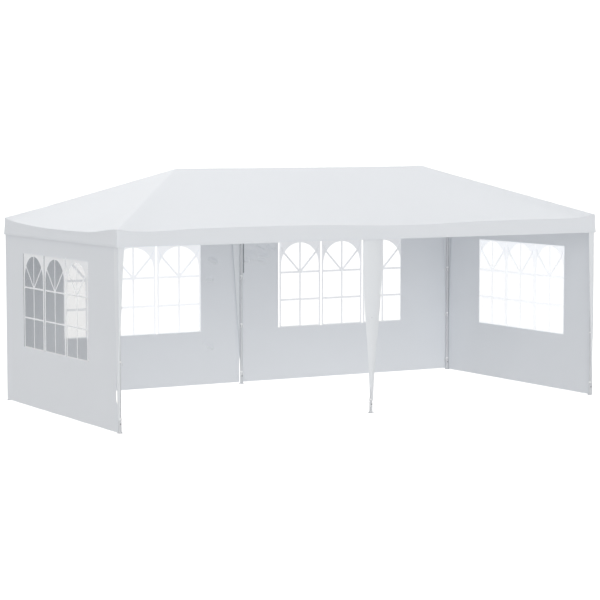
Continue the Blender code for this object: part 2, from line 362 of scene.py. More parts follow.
canopy = {
    "columns": 168,
    "rows": 84,
    "crowding": 0.36,  # how much closer the grid lies near the eaves
    "foldRadius": 0.008,
    "foldSteps": 4,
    "foldMargin": 0.002,
    "roofAngle": radians(21),
    "cornerRadius": 0.012,
    "hipSoftness": 0.010,
    "ridgeSoftness": 0.004,
    "ridgeSag": 0.002,
    "standOff": 0.006,  # how far the sheet stands out past its frame
    "droopFade": 2.2,  # how fast the fold's droop fades up the slope
    "valanceRows": 8,
    "flare": 0.012,
    # how much higher a corner lies, and how far up its hip that reaches
    "cornerLifts": {(1, -1): (0.026, 2.4), (1, 1): (0.020, 2.4), (-1, 1): (0.009, 0.45)},
    "liftWidth": 0.12,
    "hemHeight": 0.018,
    "hemGap": 0.0012,
    "thickness": 0.0006,
    "pillow": 0.006,  # how far each slope hangs hollow, and over what height that eases in
    "pillowEase": 0.25,
    "waveWidth": 0.42,
    "waveDepth": 0.004,
    "ridgeCuts": (-0.030, -0.012, -0.004, 0.004, 0.012, 0.030),
    "hipCuts": (-0.034, -0.016, 0.0, 0.016, 0.034),
    "hipStart": tent["ridgeHalf"] - 0.05,  # the hips' cuts reach a little past the ridge's end
    # how far the fold hangs below a straight line between the corners, along the fold
    "frontDroop": [(-2.95, 0), (-2.80, 0.021), (-2.60, 0.030), (-2.38, 0.025), (-2.04, 0.013),
                   (-1.59, 0.010), (-1.12, 0.008), (-0.80, 0.010), (-0.40, 0.019), (0, 0.031),
                   (0.35, 0.036), (0.60, 0.036), (0.86, 0.031), (1.38, 0.018), (1.92, 0.013),
                   (2.46, 0.014), (2.78, 0.010), (2.95, 0)],
    "endDroop": [(-1.46, 0), (-1.26, 0.012), (-1.05, 0.034), (-0.76, 0.056), (-0.20, 0.062),
                 (0.26, 0.062), (0.60, 0.054), (1.03, 0.036), (1.30, 0.018), (1.46, 0)],
}


def cornerLift(x, y):
    # how much higher the corners' slack holds the sheet at a point
    lift = 0.0
    for (signX, signY), (height, reach) in canopy["cornerLifts"].items():
        away = Vector((tent["halfLength"] - x * signX, tent["halfDepth"] - y * signY))
        beside = abs(away.x * hipRun.y - away.y * hipRun.x) / canopy["liftWidth"]
        lift += height * max(0, 1 - away.length / reach) * exp(-beside ** 2)
    return lift


def sideDroop(x, side):
    return smoothThrough(canopy["frontDroop"], x if side < 0 else -x)


def foldHeight(x, y):
    # height of the fold between roof and valance at a point near the outline
    outX = tent["halfLength"] - abs(x)
    outY = tent["halfDepth"] - abs(y)
    droop = sideDroop(x, y) if outY < outX else smoothThrough(canopy["endDroop"], y)
    return tent["cornerHeight"] - droop + cornerLift(x, y)


def slopeHeight(climb, peak, droop):
    # height of a slope that has climbed this share of the way to its peak
    low = tent["cornerHeight"]
    return low + (peak - low) * climb - droop * max(1 - climb, 0) ** canopy["droopFade"]


def roofHeight(x, y):
    # two long slopes and two ends, blended softly along the hips and the ridge
    length, depth, ridge = tent["halfLength"], tent["halfDepth"], tent["ridgeHalf"]
    peak, soft = tent["ridgeHeight"], canopy["hipSoftness"]
    climbSide = 1 - hypot(y, canopy["ridgeSoftness"]) / depth
    climbEnd = (length - abs(x)) / (length - ridge)
    alongFold = clamp(x / (length + (ridge - length) * climbSide), -1, 1) * length
    alongEnd = clamp(y / (depth * max(1 - climbEnd, 0.02)), -1, 1) * depth
    side = slopeHeight(climbSide, peak - canopy["ridgeSag"] * ease(1 - abs(x) / ridge),
                       sideDroop(alongFold, y))
    end = slopeHeight(climbEnd, peak, smoothThrough(canopy["endDroop"], alongEnd))
    near = max(soft - abs(side - end), 0) / soft
    climb = min(climbSide, climbEnd)
    pillow = canopy["pillow"] * max(climb, 0) * 4 * (1 - climb)
    return (min(side, end) - near * near * soft / 4 + cornerLift(x, y)
            - pillow * ease(abs(side - end) / canopy["pillowEase"]))


def outwardAt(x, y):
    # the level direction out of the rounded outline at a point near it
    reachX = max(abs(x) - tent["halfLength"] + canopy["cornerRadius"], 0)
    reachY = max(abs(y) - tent["halfDepth"] + canopy["cornerRadius"], 0)
    away = Vector((reachX if x > 0 else -reachX, reachY if y > 0 else -reachY, 0))
    return away.normalized()


def roundPlanCorner(point):
    # bend the square plan corner into an arc
    centerX = tent["halfLength"] - canopy["cornerRadius"]
    centerY = tent["halfDepth"] - canopy["cornerRadius"]
    reachX, reachY = abs(point.x) - centerX, abs(point.y) - centerY
    if reachX > 0 and reachY > 0:
        shrink = max(reachX, reachY) / hypot(reachX, reachY)
        point.x = (centerX + reachX * shrink) * (1 if point.x > 0 else -1)
        point.y = (centerY + reachY * shrink) * (1 if point.y > 0 else -1)


def extrudeRim(shape, move):
    # carry the open rim one step further; move says where each new corner goes
    rim = [edge for edge in shape.edges if edge.is_boundary]
    made = bmesh.ops.extrude_edge_only(shape, edges=rim)["geom"]
    corners = [item for item in made if isinstance(item, bmesh.types.BMVert)]
    for vert in corners:
        vert.co = move(vert.co)
    return corners


def cutRoofLines(shape):
    # rows of vertices beside the ridge and the four hips, so that the sheet folds there
    for offset in canopy["ridgeCuts"]:
        cutAcross(shape, (0, offset, 0), (0, 1, 0))
    for signX in (-1, 1):
        for signY in (-1, 1):
            normal = Vector((hipRun.y * signX, -hipRun.x * signY, 0))
            start = Vector((tent["ridgeHalf"] * signX, 0, 0))
            for offset in canopy["hipCuts"]:
                # the row over the ridge counts to both sides
                quarter = [face for face in shape.faces
                           if face.calc_center_median().x * signX > canopy["hipStart"]
                           and face.calc_center_median().y * signY > -0.001]
                cutAcross(shape, start + normal * offset, normal, quarter)


def dropValance(shape):
    # the rounded fold, the flared and waving valance below it, and its hem turned in
    radius, slope, bottom = canopy["foldRadius"], canopy["roofAngle"], tent["valanceBottom"]
    for step in range(canopy["foldSteps"]):
        before, after = (slope + (pi / 2 - slope) * place / canopy["foldSteps"]
                         for place in (step, step + 1))
        out = radius * (sin(after) - sin(before))
        down = Vector((0, 0, radius * (cos(before) - cos(after))))
        extrudeRim(shape, lambda place: place + outwardAt(*place.xy) * out - down)
    rim = set(extrudeRim(shape, lambda place: Vector((*place.xy, bottom))))
    drops = [edge for edge in shape.edges if len(rim.intersection(edge.verts)) == 1]
    bmesh.ops.subdivide_edges(shape, edges=drops, cuts=canopy["valanceRows"] - 1,
                              use_grid_fill=True)
    for vert in shape.verts:
        x, y, z = vert.co
        fold = foldHeight(x, y)
        if z < fold - radius - canopy["foldMargin"]:
            share = (fold - z) / (fold - bottom)
            wave = noise.noise(Vector((x, y, 0)) / canopy["waveWidth"]) * canopy["waveDepth"]
            vert.co += outwardAt(x, y) * (canopy["flare"] * share * share + wave * share)
    extrudeRim(shape, lambda place: place - outwardAt(*place.xy) * canopy["hemGap"])
    extrudeRim(shape, lambda place: place + Vector((0, 0, canopy["hemHeight"])))


def makeCanopy():
    lead = canopy["foldRadius"] * (1 - sin(canopy["roofAngle"]))
    crowd = canopy["crowding"]
    shape = flatGrid(canopy["columns"], canopy["rows"])
    for vert in shape.verts:
        x, y = (value * (1 + crowd - crowd * value * value) for value in vert.co.xy)
        vert.co.x = x * (tent["halfLength"] - lead)
        vert.co.y = y * (tent["halfDepth"] - lead)
    cutRoofLines(shape)
    for vert in shape.verts:
        roundPlanCorner(vert.co)
        vert.co.z = roofHeight(vert.co.x, vert.co.y)
    dropValance(shape)
    for vert in shape.verts:
        vert.co.x *= 1 + canopy["standOff"] / tent["halfLength"]
        vert.co.y *= 1 + canopy["standOff"] / tent["halfDepth"]
    mapCloth(shape)
    piece = finishPiece("canopy_sheet", shape, "roof",
                        replaced=nodesNamed("roof_", "valance_"),
                        thickness=canopy["thickness"], sharp=1.2)


# Side walls: hanging sheets with their windows

walls = {
    "cell": 0.035,
    "thickness": 0.0006,
    "filmThickness": 0.0004,
    "filmDepth": 0.00065,  # the film lies between the wall and the hem that holds it
    "filmCells": (24, 16),
    "filmLap": 0.015,
    "hemWidth": 0.022,
    "hemRaise": 0.0012,
    "waveWidth": 0.38,
    "waveHeight": 1.6,
    "topWave": 0.3,  # share of the waves that is left at a wall's top
    "waveDepth": 0.005,
    "tieHeights": (0.144, 0.71, 1.28),
    "calmReach": 0.16,
    "creaseCalm": 0.03,
    "edgeReach": 0.45,
    "bottomReach": 0.6,
    "creaseCell": 9,  # how many times finer the sheet is round a crease
    "creaseNear": 0.05,
}

# what holds for a wall whose own row doesn't say otherwise
straightEdge = [(0.0, 0.0), (1.93, 0.0)]
plainWall = {"slides": (0, 0), "lowEdge": straightEdge, "highEdge": straightEdge, "creases": []}

# each wall: the axis it runs along and the side it faces; how much higher its bottom corners
# hang; how far its window's two edges are moved along; how far its own two edges draw back,
# as (height, distance) pairs; its creases as start, end, height and width
wallFaces = {
    "left": {"axis": "y", "side": -1, "bottoms": (-0.007, 0.0), "slides": (-0.034, -0.012),
             "lowEdge": [(0.0, 0.014), (0.20, 0.016), (0.28, 0.03), (0.33, 0.064),
                         (0.41, 0.066), (0.46, 0.058), (0.58, 0.050), (0.68, 0.012),
                         (0.80, 0.0), (1.93, 0.0)],
             "highEdge": [(0.0, 0.0), (1.0, 0.0), (1.93, -0.004)]},
    "right": {"axis": "y", "side": 1, "bottoms": (-0.008, -0.005),
              "lowEdge": [(0.0, 0.004), (0.12, 0.004), (0.3, 0.02), (0.52, 0.02), (0.66, 0.0),
                          (1.93, 0.0)]},
    "back_left": {"axis": "x", "side": 1, "bottoms": (0.008, 0.008), "slides": (0.016, 0.010),
                  "highEdge": [(0.0, -0.009), (0.25, -0.008), (0.36, -0.016), (1.93, -0.018)],
                  "creases": [((-0.435, 1.485), (-0.315, 1.432), -0.018, 0.010),
                              ((-0.45, 1.237), (-0.365, 1.233), -0.015, 0.009),
                              ((-0.51, 0.505), (-0.37, 0.422), -0.018, 0.011)]},
    "back_right": {"axis": "x", "side": 1, "bottoms": (0.008, 0.004),
                   "creases": [((0.24, 1.492), (0.39, 1.484), -0.018, 0.010),
                               ((0.24, 1.445), (0.34, 1.438), -0.015, 0.009),
                               ((0.04, 1.440), (0.12, 1.434), -0.015, 0.009),
                               ((0.07, 1.490), (0.22, 1.438), -0.018, 0.011),
                               ((0.19, 1.650), (0.33, 1.585), 0.014, 0.016),
                               ((0.34, 1.640), (0.49, 1.570), 0.014, 0.016),
                               ((0.05, 1.560), (0.20, 1.570), 0.010, 0.014)]},
}


def wallFrame(label):
    # the wall's own values, its extent along and up, its window, the ways out of it and along
    # it, and a function that places a point on it
    wall = {**plainWall, **wallFaces[label]}
    axis, side, lap = "xy".index(wall["axis"]), wall["side"], walls["filmLap"]
    low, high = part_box(f"wall_{label}")
    windowLow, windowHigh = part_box(f"window_{label}")
    outer = (high if side > 0 else low)[1 - axis]
    slideLow, slideHigh = wall["slides"]
    out, way = Vector((0, 0, 0)), Vector((0, 0, 0))
    out[1 - axis], way[axis] = side, 1

    def place(along, up, proud):
        point = Vector((0, 0, up))
        point[axis], point[1 - axis] = along, outer + side * proud
        return point

    return {**wall, "ends": (low[axis], high[axis]), "heights": (low.z, high.z),
            "window": (windowLow[axis] + lap + slideLow, windowHigh[axis] - lap + slideHigh),
            "sill": windowLow.z + lap, "head": windowHigh.z - lap, "place": place, "out": out,
            "way": way}


def hangPoint(wall, along, up, inward=0.0):
    # where a point of the flat sheet hangs: waves, creases and drawn-back edges
    low, high = wall["ends"]
    nearLow = ease(1 - (along - low) / walls["edgeReach"])
    nearHigh = ease(1 - (high - along) / walls["edgeReach"])
    sideways = (smoothThrough(wall["lowEdge"], up) * nearLow
                - smoothThrough(wall["highEdge"], up) * nearHigh)
    start, end = wall["window"]
    outside = hypot(max(start - along, along - end, 0),
                    max(wall["sill"] - up, up - wall["head"], 0))
    calm = ease(outside / walls["calmReach"])
    seed = 7.0 * wall["side"] + (3.0 if wall["axis"] == "x" else 0.0)
    wave = noise.noise(Vector((along / walls["waveWidth"], up / walls["waveHeight"], seed)))
    hang = 1 - up / wall["heights"][1]
    depth = walls["waveDepth"] * wave * calm * (walls["topWave"] + hang)
    depth += ease(outside / walls["creaseCalm"]) * creaseDepth(wall["creases"], along, up)
    share = (along - low) / (high - low)
    lowLift, highLift = wall["bottoms"]
    lift = (lowLift + (highLift - lowLift) * share) * ease(1 - up / walls["bottomReach"])
    return wall["place"](along + sideways * calm, up + lift, depth - inward)


def refineCreases(shape, creases):
    # finer faces round each crease of a flat sheet
    reach = walls["creaseNear"]
    for crease in creases:
        start, end = crease[:2]
        near = facesBetween(shape, [min(pair) - reach for pair in zip(start, end)],
                            [max(pair) + reach for pair in zip(start, end)])
        edges = dict.fromkeys(edge for face in near for edge in face.edges
                              if edge.calc_length() > walls["cell"] / 2)
        bmesh.ops.subdivide_edges(shape, edges=list(edges), cuts=walls["creaseCell"] - 1,
                                  use_grid_fill=True)


def hangSheet(shape, wall, inward=0.0):
    # hang a flat sheet on its wall
    for vert in shape.verts:
        vert.co = hangPoint(wall, vert.co.x, vert.co.y, inward)
    layCloth(shape, wall["out"])


def makeWall(label):
    wall = wallFrame(label)
    (low, high), (bottom, top) = wall["ends"], wall["heights"]
    (start, end), sill, head = wall["window"], wall["sill"], wall["head"]
    shape = flatGrid(round((high - low) / walls["cell"]), round((top - bottom) / walls["cell"]),
                     (low, bottom), (high, top))
    for along in (start, end):
        cutAcross(shape, (along, 0, 0), (1, 0, 0))
    for up in (sill, head):
        cutAcross(shape, (0, up, 0), (0, 1, 0))
    hole = facesBetween(shape, (start, sill), (end, head))
    bmesh.ops.delete(shape, geom=hole, context="FACES")
    refineCreases(shape, wall["creases"])
    hangSheet(shape, wall)
    piece = finishPiece(f"wall_sheet_{label}", shape, "wall",
                        replaced=(f"wall_{label}",), thickness=walls["thickness"])
    hems = makeHems(label, wall)


def addStrip(shape, wall, low, high, inward):
    # a flat strip that follows the wall, just proud of it
    cells = [max(1, round((end - start) / walls["cell"])) for start, end in zip(low, high)]
    strip = flatGrid(*cells, low, high)
    hangSheet(strip, wall, inward)
    addTo(shape, strip)


def makeHems(label, wall):
    # doubled hems round the sheet and round its window, on the inside
    wide = walls["hemWidth"]
    (low, high), (bottom, top) = wall["ends"], wall["heights"]
    (start, end), sill, head = wall["window"], wall["sill"], wall["head"]
    shape = bmesh.new()
    for left, below, right, above in ((low, bottom, high, top),
                                      (start - wide, sill - wide, end + wide, head + wide)):
        for corners in (((left, below), (left + wide, above)),
                        ((right - wide, below), (right, above)),
                        ((left + wide, below), (right - wide, below + wide)),
                        ((left + wide, above - wide), (right - wide, above))):
            addStrip(shape, wall, *corners, walls["hemRaise"])
    return finishPiece(f"wall_hems_{label}", shape, "wall",
                       thickness=walls["thickness"])


# Windows: clear film with white arched frames printed on it

frames = {
    "count": 3,
    # for each wall: how wide a frame is, its bars, and the ink outside the arch on both sides
    # together, then the first frame's middle and the step to the next
    "rows": {"left": (0.546, 0.0165, 0.032, 0.670, -0.566),
             "right": (0.564, 0.025, 0.021, -0.64, 0.570),
             "back_left": (0.564, 0.026, 0.021, -1.980, 0.585),
             "back_right": (0.564, 0.024, 0.021, 0.810, 0.585)},
    "foot": 0.002,
    "archSegments": 28,
    "archCentre": 1.388,
    "fanHeight": 1.295,
    "crossHeight": 0.967,
    "fanReach": (0.22, 0.235),
    "thickness": 0.00025,
    "depth": 0.0003,  # from the wall's outer face in to the ink
}


def makeFilm(label):
    wall = wallFrame(label)
    (start, end), sill, head = wall["window"], wall["sill"], wall["head"]
    lap = walls["filmLap"]
    shape = flatGrid(*walls["filmCells"], (start - lap, sill - lap), (end + lap, head + lap))
    hangSheet(shape, wall, walls["filmDepth"])
    piece = finishPiece(f"window_film_{label}", shape, "film",
                        replaced=(f"window_{label}",), thickness=walls["filmThickness"])


def cutPanes(plate, spandrels, point, normal, above=None, side=0):
    # one straight cut through the panes, or only through those above a height on one side
    panes = [face for face in plate.faces if face not in spandrels]
    if above is not None:
        panes = [face for face in panes if face.calc_center_median().y > above
                 and face.calc_center_median().x * side > 0]
    cutAcross(plate, point, normal, panes)


def addFrame(shape, wall, centre, width, edge, bar):
    # one printed frame: an arch cut into panes, inset to its bars, inside a rectangle
    bottom, top = wall["sill"], wall["head"]
    half = (width - edge) / 2
    segments, spring = frames["archSegments"], frames["archCentre"]
    plate = bmesh.new()
    arch = [plate.verts.new((half * cos(pi * step / segments),
                             spring + half * sin(pi * step / segments), 0))
            for step in range(segments + 1)]
    arch += [plate.verts.new((side * half, bottom + frames["foot"], 0)) for side in (-1, 1)]
    wide = width / 2
    rectangle = [plate.verts.new(place) for place in
                 ((-wide, bottom, 0), (wide, bottom, 0), (wide, top, 0), (-wide, top, 0))]
    edges = [plate.edges.new(pair) for loop in (arch, rectangle)
             for pair in zip(loop, [*loop[1:], loop[0]])]
    bmesh.ops.triangle_fill(plate, use_beauty=True, edges=edges, normal=(0, 0, 1))
    spandrels = set(plate.faces[:])
    plate.faces.new(arch)
    cutPanes(plate, spandrels, (0, 0, 0), (1, 0, 0))
    for up in (frames["fanHeight"], frames["crossHeight"]):
        cutPanes(plate, spandrels, (0, up, 0), (0, 1, 0))
    reach, rise = frames["fanReach"]
    for side in (-1, 1):
        cutPanes(plate, spandrels, (0, frames["fanHeight"], 0), (rise * side, -reach, 0),
                 frames["fanHeight"], side)
    panes = [face for face in plate.faces if face not in spandrels]
    faceOutwards(plate)
    bmesh.ops.inset_individual(plate, faces=panes, thickness=bar / 2, use_even_offset=True)
    bmesh.ops.delete(plate, geom=panes, context="FACES_ONLY")
    faceOutwards(plate)
    bmesh.ops.solidify(plate, geom=plate.faces[:], thickness=frames["thickness"])
    highest = max(vert.co.z for vert in plate.verts)
    for vert in plate.verts:
        vert.co = wall["place"](centre + vert.co.x, vert.co.y,
                                vert.co.z - highest - frames["depth"])
    faceOutwards(plate)
    addTo(shape, plate)


def makeFrames(label):
    wall, shape = wallFrame(label), bmesh.new()
    width, bar, edge, centre, pitch = frames["rows"][label]
    for index in range(frames["count"]):
        addFrame(shape, wall, centre + pitch * index, width, edge, bar)
    finishPiece(f"window_frames_{label}", shape, f"ink_{label}", sharp=0.5)


# Leg covers: tapered sheets that hide each leg

covers = {
    "bottom": 0.130,
    "top": 1.885,
    "rows": 60,
    "columns": 12,
    "foot": 0.038,
    "spread": 0.190,
    "fullHeight": 1.600,
    # how wide each corner cover lies along the long side and along the end, at each height
    "cornerWidths": {
        "front_left": ([(0.13, 0.010), (0.80, 0.012), (0.93, 0.016), (1.13, 0.031),
                        (1.33, 0.041), (1.55, 0.051), (1.70, 0.060), (1.885, 0.076)],
                       [(0.13, 0.030), (0.60, 0.044), (0.93, 0.058), (1.33, 0.080),
                        (1.885, 0.092)]),
        "front_right": ([(0.13, 0.016), (0.60, 0.031), (0.90, 0.045), (1.30, 0.060),
                         (1.885, 0.079)],
                        [(0.13, 0.012), (0.60, 0.024), (1.885, 0.062)]),
        "back_left": ([(0.13, 0.016), (1.885, 0.096)], [(0.13, 0.016), (1.885, 0.096)]),
        "back_right": ([(0.13, 0.012), (1.00, 0.040), (1.885, 0.090)],
                       [(0.13, 0.012), (1.885, 0.080)])},
    "outside": 0.0035,  # how far a front corner cover lies outside its wall
    "cornerBend": 0.014,
    "bendShare": 0.8,  # and no more than this share of the narrower side
    "thickness": 0.0007,
    "curl": 0.016,
    "curlCloth": 0.02,  # cloth that a middle cover's curl takes up
    "backCurl": 0.010,
    "waveDepth": 0.0015,
    "waveHeight": 0.3,
    "middleArea": {"front": 0.272, "back": 0.150},
    "pinch": 0.03,
    "pinchReach": 0.035,
    "backSlope": 0.0675,  # half width of the back middle cover for each metre of height
    "tuck": 0.016,  # what shows of its right half, tucked in behind the leg
    "frontShift": (0.006, 0.018),  # how far the front middle cover hangs to the right
}


def middleCoverHalf(up):
    share = ease(up / covers["fullHeight"])
    return (covers["foot"] + covers["spread"] * share) / 2


def pinchAt(up):
    # a cover draws in a little where a tie holds it
    return 1 - covers["pinch"] * max(exp(-((up - tie) / covers["pinchReach"]) ** 2)
                                     for tie in walls["tieHeights"])


def middleCoverAcross(side, across, up):
    # where a point of a middle cover lies, left to right
    if side < 0:
        lowShift, highShift = covers["frontShift"]
        shift = lowShift + (highShift - lowShift) * ease(up / covers["fullHeight"])
        return across * middleCoverHalf(up) * pinchAt(up) + shift
    if across > 0:
        return across * covers["tuck"]
    reach = (covers["foot"] + covers["spread"]) / 2
    return across * clamp(covers["backSlope"] * up, covers["tuck"], reach) * pinchAt(up)


def coverHeight(share):
    return covers["bottom"] + (covers["top"] - covers["bottom"]) * (share + 1) / 2


def finishCover(shape, label, out):
    # a leg cover becomes a sheet that hangs on its leg
    layCloth(shape, out)
    piece = finishPiece(f"leg_cover_sheet_{label}", shape, "cover",
                        replaced=(f"leg_cover_{label}",), thickness=covers["thickness"])


def makeMiddleCover(label, side):
    low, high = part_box(f"leg_cover_{label}_middle")
    outer = low.y if side < 0 else high.y
    shape = flatGrid(covers["columns"], covers["rows"])
    for vert in shape.verts:
        across, up = vert.co.x, coverHeight(vert.co.y)
        wave = noise.noise(Vector((across, up / covers["waveHeight"], 5.0 * side)))
        back = covers["curl"] * across * across + covers["waveDepth"] * wave
        vert.co = Vector((middleCoverAcross(side, across, up), outer - side * back, up))
    finishCover(shape, f"{label}_middle", Vector((0, side, 0)))


def makeCornerCover(label, side, leftRight, across):
    low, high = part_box(f"leg_cover_{label}_{leftRight}")
    outside = covers["outside"] if side < 0 else 0.0
    cornerX = (low.x if across < 0 else high.x) + across * outside
    cornerY = (low.y if side < 0 else high.y) + side * outside
    widths = covers["cornerWidths"][f"{label}_{leftRight}"]
    shape = flatGrid(covers["columns"], covers["rows"])
    for vert in shape.verts:
        up = coverHeight(vert.co.y)
        both = [smoothThrough(width, up) * pinchAt(up) for width in widths]
        width = both[0 if vert.co.x < 0 else 1]
        bend = min(covers["cornerBend"], covers["bendShare"] * min(both))
        reach = abs(vert.co.x) * width
        along, inward = reach, 0.0
        if reach < bend:
            turn = pi / 4 * (1 - reach / bend)
            along, inward = bend - bend * sin(turn), bend - bend * cos(turn)
        inward += (covers["backCurl"] if side > 0 else 0.0) * (reach / max(width, 0.001)) ** 3
        offset = (along, inward) if vert.co.x < 0 else (inward, along)
        vert.co = Vector((cornerX - across * offset[0], cornerY - side * offset[1], up))
    # the mean width of both sides together, over nine heights
    mean = sum(smoothThrough(width, coverHeight(step / 4 - 1)) for width in widths
               for step in range(9)) / 9
    finishCover(shape, f"{label}_{leftRight}", Vector((across, side, 0)))


# Frame: turned tubes with pressed joints, sleeves and feet

steel = {
    "sides": 32,
    "footRadius": 0.032,
    "footPlate": 0.0025,
    "footEdge": 0.001,
    "flareEdge": 0.0008,
    "flareHeight": 0.025,
    "flareSteps": 8,
    "sleeveRadius": 0.0157,
    "sleeveTop": 0.110,
    "sleeveEdge": 0.0006,
    "buttonHeight": 0.092,
    # a spring button's outline as (radius, distance out of the tube)
    "button": ((0.0055, -0.001), (0.0055, 0.0006), (0.0046, 0.0010), (0.0042, 0.0022),
               (0.0028, 0.0036), (0, 0.0040)),
    "joint": 0.985,
    "jointStep": 0.0006,
    "jointNeck": 0.040,  # how far below its joint a leg narrows
    "neckEase": 0.005,
    "jointRing": 0.002,
    "jointEdge": 0.0008,
    "jointButton": 0.030,  # from the joint up to its button
    "socketLength": 0.060,
    "socketStop": 0.019,
    "socketPlay": 0.0003,
    "socketWall": 0.0018,
    "socketBack": 0.004,
    "socketMouth": 0.0015,
    "socketBottom": 1.890,  # height where the sockets for the legs end
    "postRise": 0.008,
    "postEdge": 0.003,
    "wall": 0.0016,
    "lip": 0.0012,
}


def turnProfile(shape, profile, start, along):
    # spin a profile of (radius, distance) about the line from start
    turned = bmesh.new()
    verts = [turned.verts.new((radius, 0, far)) for radius, far in profile]
    edges = [turned.edges.new(pair) for pair in zip(verts, verts[1:])]
    bmesh.ops.spin(turned, geom=[*verts, *edges], cent=(0, 0, 0), axis=(0, 0, 1),
                   angle=2 * pi, steps=steel["sides"], use_merge=True)
    bmesh.ops.remove_doubles(turned, verts=turned.verts[:], dist=1e-6)
    faceOutwards(turned)
    turn = Vector(along).to_track_quat("Z", "Y").to_matrix().to_4x4()
    bmesh.ops.transform(turned, matrix=Matrix.Translation(start) @ turn, verts=turned.verts[:])
    addTo(shape, turned)


def tubeProfile(length):
    radius, lip = tent["tubeRadius"], steel["lip"]
    inner = radius - steel["wall"]
    return [(0, lip), (inner, lip), (inner, 0), (radius - lip / 3, 0), (radius, lip / 2),
            (radius, length - lip / 2), (radius - lip / 3, length), (inner, length),
            (inner, length - lip), (0, length - lip)]


def makeTubes(name, runs, replaced):
    # plain tubes between two ends, each held a little back inside its sockets
    shape = bmesh.new()
    hold = steel["socketStop"] + steel["socketPlay"]
    for start, end in runs:
        run = Vector(end) - Vector(start)
        along = run.normalized()
        turnProfile(shape, tubeProfile(run.length - 2 * hold), Vector(start) + along * hold, along)
    finishPiece(name, shape, "tube", replaced=replaced, sharp=0.9)


def legProfile():
    # plate, hollow flare, sleeve and the two lengths of tube, from the ground up
    plate, rim, edge = steel["footRadius"], steel["footPlate"], steel["footEdge"]
    sleeve, tube, top = steel["sleeveRadius"], tent["tubeRadius"], tent["legTop"]
    sleeveTop, joint, step = steel["sleeveTop"], steel["joint"], steel["jointStep"]
    narrow, neck = tube - step, joint - steel["jointNeck"]
    flare, flareFoot = plate - steel["flareEdge"], rim + steel["flareEdge"]
    turns = [pi / 2 * place / steel["flareSteps"] for place in range(steel["flareSteps"] + 1)]
    return [(0, 0), (plate - edge, 0), (plate, edge), (plate, rim),
            *((flare - (flare - sleeve) * sin(turn),
               flareFoot + (steel["flareHeight"] - rim) * (1 - cos(turn))) for turn in turns),
            (sleeve, sleeveTop - edge), (sleeve - steel["sleeveEdge"], sleeveTop),
            (tube, sleeveTop), (tube, neck - steel["neckEase"]), (narrow, neck),
            (narrow, joint - steel["jointRing"]), (narrow, joint),
            (tube, joint + steel["jointEdge"]), (tube, top - edge), (tube - edge, top), (0, top)]


def makeLeg(label, x, y):
    shape = bmesh.new()
    turnProfile(shape, legProfile(), (x, y, 0), (0, 0, 1))
    finishPiece(f"leg_{label}_tube", shape, "tube", replaced=(f"leg_{label}",),
                sharp=0.6)


def makePins(name, finish, up, radius):
    # spring buttons that lock each leg's sleeve or its two lengths
    shape = bmesh.new()
    for x, y in legPlaces:
        for side in (-1, 1):
            turnProfile(shape, steel["button"], (x, y + side * radius, up), (0, side, 0))
    finishPiece(name, shape, finish)


def socketProfile(length):
    outer, stop, back = steel["sleeveRadius"], steel["socketStop"], steel["socketBack"]
    inner = outer - steel["socketWall"]
    return [(0, back), (outer - steel["postEdge"], back), (outer, 2 * back),
            (outer, length - steel["socketMouth"]), (outer - steel["sleeveEdge"], length),
            (inner, length), (inner, stop), (0, stop)]


def makeJoint(name, middle, sockets, top=None):
    # sockets welded to a short post that reaches up to its top, or else to a ball
    shape = bmesh.new()
    outer, edge = steel["sleeveRadius"], steel["postEdge"]
    if top is None:
        bmesh.ops.create_uvsphere(shape, u_segments=steel["sides"], v_segments=16, radius=outer,
                                  matrix=Matrix.Translation(middle))
    else:
        low = middle.z - outer
        tall = top - low
        turnProfile(shape, [(0, 0), (outer - edge, 0), (outer, edge), (outer, tall - edge),
                            (outer - edge, tall), (0, tall)], (*middle.xy, low), (0, 0, 1))
    for root, target, length in sockets:
        turnProfile(shape, socketProfile(length), root, Vector(target) - Vector(root))
    finishPiece(f"{name}_welded", shape, "joint", replaced=(name,), sharp=0.6)


def makeFrame():
    legX, legY, eave = tent["legX"], tent["legY"], tent["eaveHeight"]
    length, ridgeX = steel["socketLength"], tent["ridgeHalf"]
    ridgeZ = tent["ridgeHeight"] - tent["ridgeDrop"]
    ridge = {label: Vector((x, 0, ridgeZ)) for label, x in
             (("left", -ridgeX), ("right", ridgeX), ("middle", 0))}
    ends = (("left", -legX), ("right", legX), ("middle", 0))
    hips, rafters, eaves = [], [], []
    for label, y in (("front", -legY), ("back", legY)):
        for end, x in ends:
            head = Vector((x, y, eave))
            raised = head + Vector((0, 0, tent["cornerRise" if x else "middleRise"]))
            beside = ((0, y, eave), (x, 0, eave)) if x else ((-legX, y, eave), (legX, y, eave))
            makeLeg(f"{label}_{end}", x, y)
            makeJoint(f"{'corner' if x else 'eave'}_joint_{label}_{end}", head,
                      [(head, (x, y, 0), eave - steel["socketBottom"]),
                       (raised, ridge[end], length),
                       *((head, target, length) for target in beside)],
                      top=raised.z + steel["postRise"])
            (hips if x else rafters).append((raised, ridge[end]))
            if x:
                eaves.append((head, (0, y, eave)))
    for end, x in ends:
        beside = (ridge["middle"],) if x else (ridge["left"], ridge["right"])
        feet = [foot for foot, top in (*hips, *rafters) if top == ridge[end]]
        makeJoint(f"ridge_joint_{end}", ridge[end],
                  [(ridge[end], target, length) for target in (*beside, *feet)])
        if x:
            eaves.append(((x, -legY, eave), (x, legY, eave)))
    halves = [(ridge[end], ridge["middle"]) for end in ("left", "right")]
    for kind, runs in (("eave", eaves), ("hip", hips), ("rafter", rafters), ("ridge", halves)):
        makeTubes(f"{kind}_tubes", runs, nodesNamed(f"{kind}_"))
    makePins("foot_buttons", "pin", steel["buttonHeight"], steel["sleeveRadius"])
    makePins("leg_buttons", "joint", steel["joint"] + steel["jointButton"], tent["tubeRadius"])


# Ties: short tapes that hold walls and covers to the tubes

